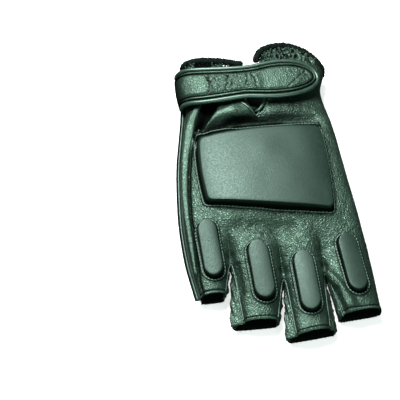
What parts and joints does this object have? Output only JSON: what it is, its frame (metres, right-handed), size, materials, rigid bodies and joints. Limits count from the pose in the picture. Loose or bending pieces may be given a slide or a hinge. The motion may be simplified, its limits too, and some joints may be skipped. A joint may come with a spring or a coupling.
{
  "type": "fingerless padded glove",
  "caption": "Right-hand fingerless leather glove with a padded back, knuckle pads and a closing wrist strap, lying on its palm.",
  "frame": {"origin": "under the middle of the glove's outline, on the surface it lies on", "axes": "+Y from the fingers to the cuff, +X from the little finger to the index finger, +Z out of the back of the hand"},
  "size_m": [0.1046, 0.1828, 0.033],
  "materials": {
    "leather": "grained, slightly glossy",
    "pad_leather": "smooth, satin",
    "binding": "rolled edge, satin",
    "hook_and_loop": "fuzzy, matt"
  },
  "bodies": {
    "root": {"back_panel": "leather", "palm_panel": "leather", "gusset_little_ring": "leather", "gusset_ring_middle": "leather", "gusset_middle_index": "leather", "thumb_stub": "leather", "wrist_strap": "leather", "hand_pad": "pad_leather", "knuckle_pad_little": "pad_leather", "knuckle_pad_ring": "pad_leather", "knuckle_pad_middle": "pad_leather", "knuckle_pad_index": "pad_leather", "strap_binding": "binding", "cuff_binding": "binding", "vent_binding": "binding", "side_seam": "binding", "loop_patch": "hook_and_loop", "hook_patch": "hook_and_loop"}
  },
  "joints": []
}
